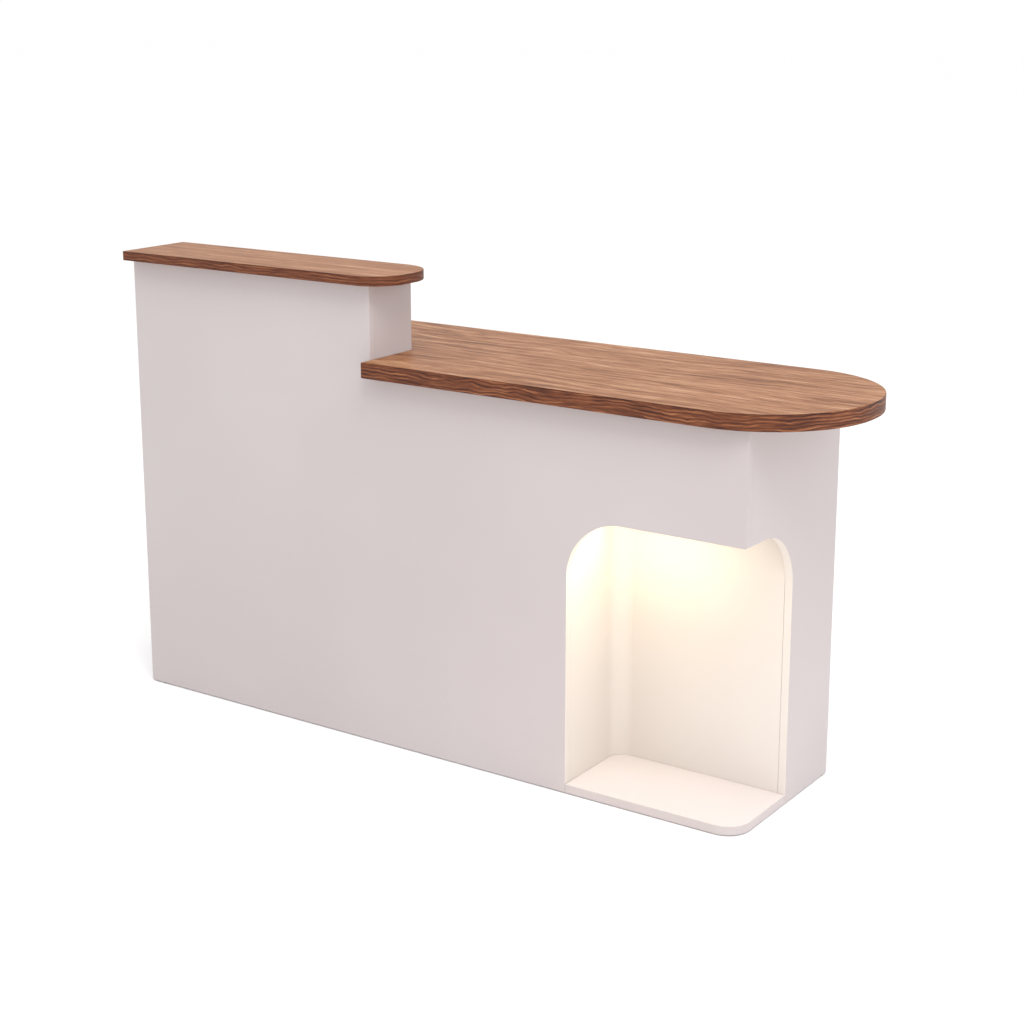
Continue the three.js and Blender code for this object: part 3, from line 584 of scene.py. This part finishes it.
def tree_of_rows():
    tree = bpy.data.node_groups.new("row", "GeometryNodeTree")
    for name, kind in (
        ("Geometry", "NodeSocketGeometry"), ("Unit", "NodeSocketObject"), ("Count", "NodeSocketInt"),
        ("Start", "NodeSocketVector"), ("Step", "NodeSocketVector"), ("Turn", "NodeSocketVector"),
        ("Finish", "NodeSocketMaterial"),
    ):
        tree.interface.new_socket(name, in_out="INPUT", socket_type=kind)
    tree.interface.new_socket("Geometry", in_out="OUTPUT", socket_type="NodeSocketGeometry")
    given = tree.nodes.new("NodeGroupInput")
    line = tree.nodes.new("GeometryNodeMeshLine")
    unit = tree.nodes.new("GeometryNodeObjectInfo")
    spread = tree.nodes.new("GeometryNodeInstanceOnPoints")
    real = tree.nodes.new("GeometryNodeRealizeInstances")
    finish = tree.nodes.new("GeometryNodeSetMaterial")
    out = tree.nodes.new("NodeGroupOutput")
    for source, target in (
        (given.outputs["Count"], line.inputs["Count"]),
        (given.outputs["Start"], line.inputs["Start Location"]),
        (given.outputs["Step"], line.inputs["Offset"]),
        (given.outputs["Unit"], unit.inputs["Object"]),
        (line.outputs["Mesh"], spread.inputs["Points"]),
        (unit.outputs["Geometry"], spread.inputs["Instance"]),
        (given.outputs["Turn"], spread.inputs["Rotation"]),
        (spread.outputs["Instances"], real.inputs[0]),
        (real.outputs[0], finish.inputs["Geometry"]),
        (given.outputs["Finish"], finish.inputs["Material"]),
        (finish.outputs[0], out.inputs[0]),
    ):
        tree.links.new(source, target)
    return tree


rows = tree_of_rows()


def row(unit, start, step=(0, 0, 0), count=1, turn=(0, 0, 0), finish=None):
    """A mesh of one unit set count times from start, a step apart."""
    host = bpy.data.objects.new("row", bpy.data.meshes.new("row"))
    scene.collection.objects.link(host)
    made = host.modifiers.new("row", "NODES")
    made.node_group = rows
    given = {"Unit": unit, "Count": count, "Start": start, "Step": step, "Turn": turn, "Finish": finish}
    for item in rows.interface.items_tree:
        if item.in_out == "INPUT" and item.name in given:
            made[item.identifier] = given[item.name]
    mesh = bpy.data.meshes.new_from_object(host.evaluated_get(bpy.context.evaluated_depsgraph_get()))
    bpy.data.objects.remove(host)
    return mesh


def gathered(name, meshes, body, material):
    """One piece made from several rows."""
    shape = bmesh.new()
    for mesh in meshes:
        shape.from_mesh(mesh)
        bpy.data.meshes.remove(mesh)
    for face in shape.faces:
        face.material_index = 0
    return placed(name, shape, body, [material])


def unit_from(name, shape):
    bmesh.ops.recalc_face_normals(shape, faces=shape.faces)
    mesh = bpy.data.meshes.new(name)
    shape.to_mesh(mesh)
    shape.free()
    unit = bpy.data.objects.new(name, mesh)
    scene.collection.objects.link(unit)
    return unit


diode_shape = bmesh.new()
bmesh.ops.create_cube(diode_shape, size=1, matrix=Matrix.Diagonal((*DIODE, 1)))
bmesh.ops.bevel(
    diode_shape, geom=diode_shape.edges[:], offset=DIODE_ARRIS, segments=1, affect="EDGES")
diode_unit = unit_from("diode_unit", diode_shape)
phosphor, wire = new_material("diode_phosphor")
phosphor_grain = coordinates(wire).noise((900, 900, 900))
shade(wire, {
    "Base Color": phosphor_grain.between((0.86, 0.66, 0.20, 1), (0.95, 0.78, 0.32, 1)),
    "Roughness": 0.35 + 0.2 * phosphor_grain,
    "Emission Color": GLOW + (1,),
    "Emission Strength": LENS_STRENGTH,
})
strip_low, strip_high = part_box("led_strip")
diode_count = int((strip_high.x - strip_low.x - DIODE_PITCH) / DIODE_PITCH)
diode_start = (
    strip_low.x + DIODE_PITCH / 2, (strip_low.y + strip_high.y) / 2, strip_low.z - DIODE[2] / 2)
gathered("niche_diodes", [
    row(diode_unit, diode_start, (DIODE_PITCH, 0, 0), diode_count, finish=phosphor),
], "counter", phosphor)


# ---- Light supply: a black driver screwed to the niche ceiling, a mains inlet with a rocker switch
# let into the partition and held by two pan-head screws, and the leads between them.

SMALL_SCREW = (0.0029, 0.0011)
SCREW_SIDES = 16
CROSS_WAIST = 0.42
STEEL = (0.60, 0.61, 0.63, 1)
TURN_UP = (0, 0, 0)
TURN_RIGHT = (0, pi / 2, 0)
TURN_LEFT = (0, -pi / 2, 0)
PIN_SPOTS = (-0.007, 0, 0.007)
PIN_HALF = 0.0013
PIN_RUN = (0.0015, 0.0155)
PIN_RISE = (-0.0145, -0.0085)
INLET_SCREW_FOOT = 0.0045
INLET_SCREW_STEP = 0.051
DRIVER_EAR = 0.006
DRIVER_EAR_HEIGHT = 0.003
DRIVER_ARRIS = 0.0008
ROCKER_ARRIS = 0.0006


def turned_unit(name, profile, sides, star=()):
    """A solid turned about Z from its profile. The rings named in star are drawn in to a cross."""
    shape = bmesh.new()
    rings = []
    for index, (radius, height) in enumerate(profile):
        ring = []
        for side in range(sides):
            reach = radius * (1 if index not in star or side % 4 == 0 else CROSS_WAIST)
            angle = 2 * pi * side / sides
            ring.append(shape.verts.new((reach * cos(angle), reach * sin(angle), height)))
        rings.append(ring)
    skinned(shape, rings)
    return unit_from(name, shape)


def skinned(shape, rings):
    """Faces between rings of equal length, with both ends closed."""
    for lower, upper in zip(rings, rings[1:]):
        for side, corner in enumerate(lower):
            after = (side + 1) % len(lower)
            shape.faces.new((corner, lower[after], upper[after], upper[side]))
    shape.faces.new(rings[0])
    shape.faces.new(rings[-1])


def screw_unit(name, radius, height):
    """A pan head with a cross recess."""
    return turned_unit(name, (
        (radius, 0), (radius, 0.3 * height), (0.86 * radius, 0.75 * height), (0.62 * radius, height),
        (0.50 * radius, height), (0.36 * radius, 0.35 * height)), SCREW_SIDES, star=(4, 5))


def plastic_paint(name, colour, lighter, roughness):
    """Moulded plastic with a fine spark-eroded texture."""
    made, wire = new_material(name)
    place = coordinates(wire)
    grain = place.noise((1500, 1500, 1500), detail=1)
    patches = place.noise((30, 30, 30))
    shade(wire, {
        "Base Color": patches.step(0.3, 0.7).between(colour, lighter),
        "Roughness": roughness + 0.15 * grain,
        "Normal": grain.bump(0.00003),
    })
    return made


steel = metal_paint("bright_steel", STEEL, 0.26, (300, 300, 300))
small_screw = screw_unit("small_screw", *SMALL_SCREW)
black = plastic_paint("black_plastic", (0.012, 0.012, 0.013, 1), (0.020, 0.020, 0.021, 1), 0.36)
flex_black = plastic_paint("black_flex", (0.014, 0.014, 0.015, 1), (0.026, 0.026, 0.028, 1), 0.42)
flex_white = plastic_paint("white_flex", (0.74, 0.73, 0.70, 1), (0.82, 0.81, 0.78, 1), 0.42)

inlet_low, inlet_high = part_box("power_inlet")
inlet_y = (inlet_low.y + inlet_high.y) / 2
inlet_z = (inlet_low.z + inlet_high.z) / 2


def pin_or_case(face):
    spot = face.calc_center_median()
    on_pin = any(abs(spot.y - inlet_y - offset) < PIN_HALF for offset in PIN_SPOTS)
    in_run = PIN_RUN[0] < spot.x - inlet_low.x < PIN_RUN[1]
    in_rise = PIN_RISE[0] < spot.z - inlet_z < PIN_RISE[1]
    return int(on_pin and in_run and in_rise)


finished("led_driver", DRIVER_ARRIS, black)
finished("power_inlet", SMALL_ARRIS, black, steel, choose=pin_or_case)
finished("switch_rocker", ROCKER_ARRIS, black, segments=3)
finished("led_lead", 0, flex_white)
finished("supply_lead", 0, flex_black)

driver_low, driver_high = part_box("led_driver")
inlet_start = (inlet_low.x, inlet_y, inlet_low.z + INLET_SCREW_FOOT)
driver_start = (
    driver_low.x + DRIVER_EAR, (driver_low.y + driver_high.y) / 2, driver_low.z + DRIVER_EAR_HEIGHT)
driver_step = driver_high.x - driver_low.x - 2 * DRIVER_EAR
gathered("supply_screws", [
    row(small_screw, inlet_start, (0, 0, INLET_SCREW_STEP), 2, TURN_LEFT, steel),
    row(small_screw, driver_start, (driver_step, 0, 0), 2, TURN_UP, steel),
], "counter", steel)


# ---- Cable grommet and floor glides: moulded black parts, the grommet's ring and turning cap pressed
# into the worktop and the four glides nailed under the boards.

for node in (
    "grommet_ring", "grommet_cap", "floor_glide_1", "floor_glide_2", "floor_glide_3", "floor_glide_4",
):
    finished(node, THIN_ARRIS, black)


# ---- Cam caps: plastic discs over the fittings that pull the boards together, lacquered over with the
# partitions they sit in.

CAP = ((0.0072, 0), (0.0072, 0.0003), (0.0067, 0.0007), (0.0030, 0.0008))
CAP_SIDES = 28
CAP_START = -0.15
CAP_STEP = 0.15
CAPS_IN_ROW = 3
CAP_HEIGHTS = (0.825, 0.045)

cap_unit = turned_unit("cap_unit", CAP, CAP_SIDES)
cap_rows = []
for face_x, turn in (
    (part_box("pedestal_partition")[1].x, TURN_RIGHT), (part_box("niche_partition")[0].x, TURN_LEFT),
):
    for height in CAP_HEIGHTS:
        cap_rows.append(row(
            cap_unit, (face_x, CAP_START, height), (0, CAP_STEP, 0), CAPS_IN_ROW, turn, lacquer))
gathered("cam_caps", cap_rows, "counter", lacquer)


# ---- Drawers: lacquered inset fronts on boxes of birch plywood, whose top edges show the plies. They
# hang on ball-bearing slides of zinc-plated steel, screwed to the boards and to the boxes.

BIRCH = (0.60, 0.42, 0.235, 1)
BIRCH_DARK = (0.47, 0.305, 0.155, 1)
PLY_GLUE = (0.33, 0.20, 0.10, 1)
PLY_PITCH = 0.0024
BOX_ARRIS = 0.0006
ZINC = (0.57, 0.585, 0.605, 1)
SLIDE_TRAVEL = 0.165
SLIDE_STEEL = 0.0012
SLIDE_SCREWS = 4
SLIDE_SCREW_INSET = 0.035
FLAT_SCREW = (0.0036, 0.0007)
BALL_RADIUS = 0.0015
BALL_PITCH = 0.0125
RACE_MARGIN = 0.012
RACE_STOP = 0.002
OUTER_RACE = (0.0060, 0.0192)
INNER_RACE = (0.0072, 0.0149)

birch, wire = new_material("birch_face")
place = coordinates(wire)
veins = place.noise((5, 5, 170), detail=3, roughness=0.6)
flecks = place.noise((26, 26, 420), detail=1)
shade(wire, {
    "Base Color": (0.7 * veins + 0.3 * flecks).step(0.25, 0.72).between(BIRCH_DARK, BIRCH),
    "Roughness": 0.50 + 0.14 * veins,
    "Normal": flecks.bump(0.00005),
})

ply, wire = new_material("birch_plies")
depth, _ = wire.node("ShaderNodeUVMap", {"uv_map": "plies"}, {}).parts()
waviness = coordinates(wire).noise((60, 60, 60))
layers = wire.maths("SINE", depth * (2 * pi / PLY_PITCH) + 1.2 * waviness, 0.0)
shade(wire, {
    "Base Color": layers.step(-0.55, 0.25).between(PLY_GLUE, BIRCH),
    "Roughness": 0.58 + 0.12 * waviness,
    "Normal": layers.bump(0.00004),
})


def drawer_box(node):
    shape = eased(node, BOX_ARRIS)
    low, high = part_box(node)
    plies = shape.loops.layers.uv.new("plies")
    for face in shape.faces:
        at_top = face.calc_center_median().z > high.z - CUT_REACH
        face.material_index = int(face.normal.z > SQUARE_ON and at_top)
        for loop in face.loops:
            x, y, z = loop.vert.co
            loop[plies].uv = (min(x - low.x, high.x - x, y - low.y, high.y - y), z)
    placed(node + "_piece", shape, body_of(node), [birch, ply], [node])


ball_shape = bmesh.new()
bmesh.ops.create_icosphere(ball_shape, subdivisions=2, radius=BALL_RADIUS)
ball_unit = unit_from("ball_unit", ball_shape)
flat_screw = screw_unit("flat_screw", *FLAT_SCREW)
zinc = metal_paint("zinc_plate", ZINC, 0.24, (420, 7, 420), streak=0.16)
for drawer in ("cash", "storage"):
    finished(drawer + "_drawer_front", LACQUER_ARRIS, lacquer)
    drawer_box(drawer + "_drawer_box")
    balls, board_screws, box_screws = [], [], []
    for side, inward, towards_box, towards_board in (
        ("left", 1, TURN_RIGHT, TURN_LEFT), ("right", -1, TURN_LEFT, TURN_RIGHT),
    ):
        for part in ("outer", "middle", "inner"):
            finished(f"{drawer}_slide_{part}_{side}", SHEET_ARRIS, zinc)
        low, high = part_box(f"{drawer}_slide_outer_{side}")
        web = low.x if inward > 0 else high.x
        mid = (low.z + high.z) / 2
        outer_start, outer_end = low.y + RACE_MARGIN, high.y - SLIDE_TRAVEL - RACE_STOP
        count = int((outer_end - outer_start) / BALL_PITCH)
        for (from_web, level), start_y, in_race in (
            (OUTER_RACE, outer_start, count), (INNER_RACE, outer_end + RACE_MARGIN, count - 1),
        ):
            for race_z in (mid - level, mid + level):
                start = (web + inward * from_web, start_y, race_z)
                balls.append(row(ball_unit, start, (0, BALL_PITCH, 0), in_race, finish=steel))
        inner_low, inner_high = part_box(f"{drawer}_slide_inner_{side}")
        inner_web = inner_high.x if inward > 0 else inner_low.x
        screw_step = (0, (high.y - low.y - 2 * SLIDE_SCREW_INSET) / (SLIDE_SCREWS - 1), 0)
        start = (web + inward * SLIDE_STEEL, low.y + SLIDE_SCREW_INSET, mid)
        board_screws.append(row(flat_screw, start, screw_step, SLIDE_SCREWS, towards_box, steel))
        start = (inner_web - inward * SLIDE_STEEL, low.y + SLIDE_SCREW_INSET, mid)
        box_screws.append(row(flat_screw, start, screw_step, SLIDE_SCREWS, towards_board, steel))
    gathered(drawer + "_slide_balls", balls, drawer + "_slide_middle", steel)
    gathered(drawer + "_slide_board_screws", board_screws, "counter", steel)
    gathered(drawer + "_slide_box_screws", box_screws, drawer + "_drawer", steel)


# ---- Pulls: 9 mm bar bent at both ends, brushed along its length, on round roses.

PULL_RADIUS = 0.0045
PULL_BEND = 0.013
PULL_SIDES = 24
PULL_STEPS = 10
PULL_STEEL = (0.56, 0.555, 0.545, 1)
TURN_BACK = (-pi / 2, 0, 0)
ROSE = ((0.0078, 0), (0.0078, 0.0012), (0.0070, 0.0021), (0.0050, 0.0024))
brushed_x = metal_paint("brushed_along_x", PULL_STEEL, 0.26, (18, 900, 900), height=0.00002)
brushed_z = metal_paint("brushed_along_z", PULL_STEEL, 0.26, (900, 900, 18), height=0.00002)
rose_unit = turned_unit("rose_unit", ROSE, PULL_SIDES)


def swept(shape, points, radius, normal, sides):
    """A closed round bar along points that lie in one plane."""
    rings = []
    for index, point in enumerate(points):
        run = points[min(index + 1, len(points) - 1)] - points[max(index - 1, 0)]
        across = run.cross(normal).normalized()
        rings.append([
            shape.verts.new(point + radius * (cos(angle) * across + sin(angle) * normal))
            for angle in (2 * pi * side / sides for side in range(sides))])
    skinned(shape, rings)
    bmesh.ops.recalc_face_normals(shape, faces=shape.faces)


def bent_pull(node, along, material):
    low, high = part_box(node)
    middle = (low + high) / 2
    foot = Vector((middle.x, low.y, middle.z))
    half = (high - low).dot(along) / 2 - PULL_RADIUS
    reach = high.y - low.y - PULL_RADIUS
    out = Vector((0, 1, 0))
    bend = [radians(90 * step / PULL_STEPS) for step in range(PULL_STEPS + 1)]
    near = [
        foot + along * (-half + PULL_BEND * (1 - cos(angle))) + out * (reach - PULL_BEND * (1 - sin(angle)))
        for angle in bend]
    far = [
        foot + along * (half - PULL_BEND * (1 - cos(angle))) + out * (reach - PULL_BEND * (1 - sin(angle)))
        for angle in reversed(bend)]
    shape = bmesh.new()
    ends = [foot - along * half, foot + along * half]
    swept(shape, [ends[0], *near, *far, ends[1]], PULL_RADIUS, along.cross(out), PULL_SIDES)
    for end in ends:
        rose = row(rose_unit, end, turn=TURN_BACK, finish=material)
        shape.from_mesh(rose)
        bpy.data.meshes.remove(rose)
    placed(node + "_piece", shape, body_of(node), [material], [node])


bent_pull("cash_drawer_pull", Vector((1, 0, 0)), brushed_x)
bent_pull("storage_drawer_pull", Vector((1, 0, 0)), brushed_x)
bent_pull("door_pull", Vector((0, 0, 1)), brushed_z)


# ---- Cam lock: a nickel-plated barrel in the cash drawer's front, with a keyway in its plug.

KEYWAY = (0.0013, 0.0060, 0.0066)
NICKEL = (0.66, 0.635, 0.59, 1)
nickel = metal_paint("nickel_plate", NICKEL, 0.16, (260, 260, 260), streak=0.08)
finished("lock_barrel", SMALL_ARRIS, nickel)

plug_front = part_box("lock_plug")[1].y
barrel_low, barrel_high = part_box("lock_barrel")
keyway_shape = bmesh.new()
keyway_place = Matrix.Translation((
    (barrel_low.x + barrel_high.x) / 2, plug_front, (barrel_low.z + barrel_high.z) / 2))
bmesh.ops.create_cube(keyway_shape, size=1, matrix=keyway_place @ Matrix.Diagonal((*KEYWAY, 1)))
keyway = unit_from("keyway", keyway_shape)
plug = unit_from("plug", eased("lock_plug", SHEET_ARRIS))
cut = plug.modifiers.new("keyway", "BOOLEAN")
cut.object = keyway
cut.solver = "EXACT"
plug_shape = bmesh.new()
plug_shape.from_mesh(plug.evaluated_get(bpy.context.evaluated_depsgraph_get()).to_mesh())
bpy.data.objects.remove(plug)
bpy.data.objects.remove(keyway)
placed("lock_plug_piece", plug_shape, "cash_lock", [nickel], ["lock_plug"])


# ---- Keyboard tray: a lacquered board with a rounded nosing, in two folded runners that are powder
# coated black and screwed up into the worktop.

TRAY_ARRIS = 0.0007
STOUT_SCREW = (0.0042, 0.0020)
RUNNER_SCREWS = 3
RUNNER_SCREW_START = 0.03
RUNNER_SCREW_STEP = 0.0875
RUNNER_STEEL = 0.0015
FLANGE_MIDDLES = {"left": -0.3705, "right": 0.2525}
TURN_DOWN = (pi, 0, 0)

powder, wire = new_material("powder_coat")
powder_grain = coordinates(wire).noise((700, 700, 700))
powder_cloud = coordinates(wire).noise((9, 9, 9))
shade(wire, {
    "Base Color": powder_cloud.step(0.3, 0.7).between((0.030, 0.030, 0.032, 1), (0.044, 0.044, 0.046, 1)),
    "Roughness": 0.44 + 0.16 * powder_grain,
    "Normal": powder_grain.bump(0.00006),
})
finished("keyboard_tray", TRAY_ARRIS, lacquer)
stout_screw = screw_unit("stout_screw", *STOUT_SCREW)
runner_screws = []
for side, flange_x in FLANGE_MIDDLES.items():
    finished("tray_runner_" + side, THIN_ARRIS, powder)
    low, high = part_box("tray_runner_" + side)
    start = (flange_x, low.y + RUNNER_SCREW_START, high.z - RUNNER_STEEL)
    runner_screws.append(row(
        stout_screw, start, (0, RUNNER_SCREW_STEP, 0), RUNNER_SCREWS, TURN_DOWN, steel))
gathered("runner_screws", runner_screws, "counter", steel)


# ---- Cupboard behind the niche: an inset lacquered door on a piano hinge, whose two leaves are
# screwed on, and a loose shelf on four pins.

HINGE_SCREWS = 9
HINGE_STEEL = 0.0012
HINGE_SCREW_INSET = 0.030
LEAF_MIDDLES = {"hinge_frame_leaf": 0.7290, "hinge_door_leaf": 0.7095}
SHELF_PIN = (
    (0.0024, 0), (0.0024, 0.0062), (0.0040, 0.0064), (0.0040, 0.0074), (0.0024, 0.0078),
    (0.0020, 0.0082))
SHELF_PIN_SIDES = 20
SHELF_PIN_DROP = 0.0041
SHELF_PIN_START = 0.03
SHELF_PIN_STEP = 0.1

finished("cupboard_door", LACQUER_ARRIS, lacquer)
for leaf, leaf_x in LEAF_MIDDLES.items():
    finished(leaf, SMALL_ARRIS, zinc)
    low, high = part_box(leaf)
    start = (leaf_x, low.y + HINGE_STEEL, low.z + HINGE_SCREW_INSET)
    step = (high.z - low.z - 2 * HINGE_SCREW_INSET) / (HINGE_SCREWS - 1)
    screws = row(small_screw, start, (0, 0, step), HINGE_SCREWS, TURN_BACK, steel)
    gathered(leaf + "_screws", [screws], body_of(leaf), steel)

pin_unit = turned_unit("pin_unit", SHELF_PIN, SHELF_PIN_SIDES)
shelf_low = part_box("cupboard_shelf")[0]
pin_y, pin_z = shelf_low.y + SHELF_PIN_START, shelf_low.z - SHELF_PIN_DROP
gathered("shelf_pins", [
    row(pin_unit, (face_x, pin_y, pin_z), (0, SHELF_PIN_STEP, 0), 2, turn, steel)
    for face_x, turn in ((niche_left, TURN_RIGHT), (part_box("right_end_panel")[0].x, TURN_LEFT))
], "counter", steel)

# The single units have done their work and leave the scene.
for unit in (small_screw, stout_screw, flat_screw, cap_unit, pin_unit, ball_unit, diode_unit, rose_unit):
    bpy.data.objects.remove(unit)
